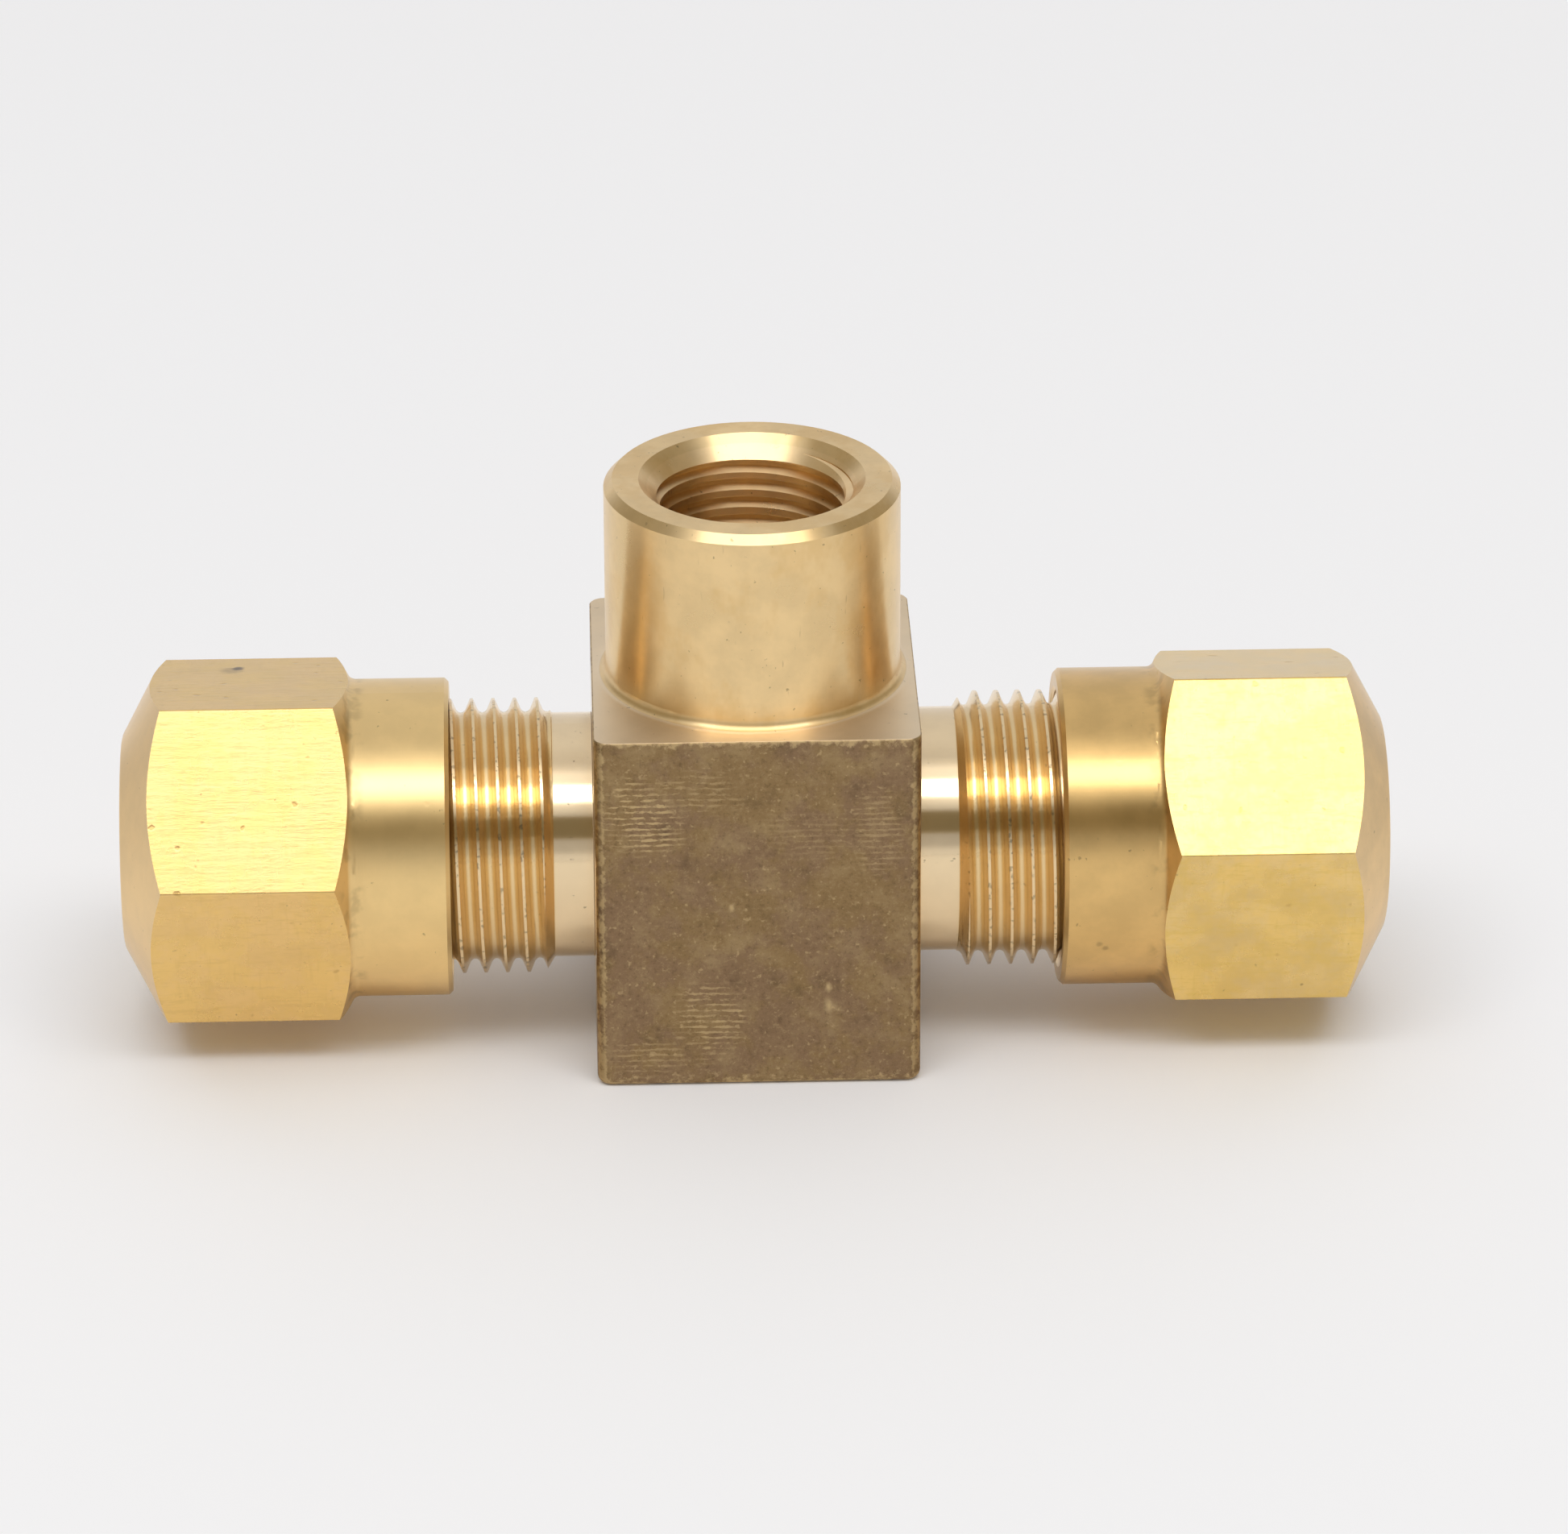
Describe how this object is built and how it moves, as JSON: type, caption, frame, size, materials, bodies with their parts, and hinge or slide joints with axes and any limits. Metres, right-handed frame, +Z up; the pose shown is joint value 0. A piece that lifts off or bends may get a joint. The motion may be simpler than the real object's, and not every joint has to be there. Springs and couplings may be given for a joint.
{
  "type": "compression fitting tee",
  "caption": "Brass compression tee for soft tubing: hexagonal nuts clamp a tube in each arm over tapered sleeves, and an upright boss has a female pipe thread.",
  "frame": {"origin": "centre of the block's bottom face, which the fitting stands on", "axes": "+X along the run from the left tube port to the right one, +Z up through the branch port, +Y towards the back"},
  "size_m": [0.0618, 0.018, 0.0286],
  "materials": {
    "tee_body": "machined and lightly tarnished",
    "left_nut": "satin turned and milled",
    "right_nut": "satin turned and milled",
    "left_sleeve": "machined",
    "right_sleeve": "machined",
    "left_tube_support": "machined",
    "right_tube_support": "machined"
  },
  "bodies": {
    "tee_body": {"tee_body": "tee_body"},
    "left_nut": {"left_nut": "left_nut"},
    "right_nut": {"right_nut": "right_nut"},
    "left_sleeve": {"left_sleeve": "left_sleeve"},
    "right_sleeve": {"right_sleeve": "right_sleeve"},
    "left_tube_support": {"left_tube_support": "left_tube_support"},
    "right_tube_support": {"right_tube_support": "right_tube_support"}
  },
  "joints": [
    {"name": "left_sleeve_slide", "type": "slide", "parent": "tee_body", "child": "left_sleeve", "axis": [1, 0, 0], "range_m": [-0.0046, 0.00424]},
    {"name": "left_nut_turn", "type": "hinge", "parent": "left_sleeve", "child": "left_nut", "pos_m": [-0.023, 0, 0.00963], "axis": [1, 0, 0], "range_deg": [-1560, 1440]},
    {"name": "left_support_slide", "type": "slide", "parent": "tee_body", "child": "left_tube_support", "axis": [-1, 0, 0], "range_m": [0, 0.021]},
    {"name": "right_sleeve_slide", "type": "slide", "parent": "tee_body", "child": "right_sleeve", "axis": [-1, 0, 0], "range_m": [-0.0046, 0.00424]},
    {"name": "right_nut_turn", "type": "hinge", "parent": "right_sleeve", "child": "right_nut", "pos_m": [0.023, 0, 0.00963], "axis": [-1, 0, 0], "range_deg": [-1560, 1440]},
    {"name": "right_support_slide", "type": "slide", "parent": "tee_body", "child": "right_tube_support", "axis": [1, 0, 0], "range_m": [0, 0.021]}
  ],
  "couplings": [
    {"joint": "left_sleeve_slide", "follows": "left_nut_turn", "m_per_rad": 0.00016844},
    {"joint": "right_sleeve_slide", "follows": "right_nut_turn", "m_per_rad": 0.00016844}
  ]
}
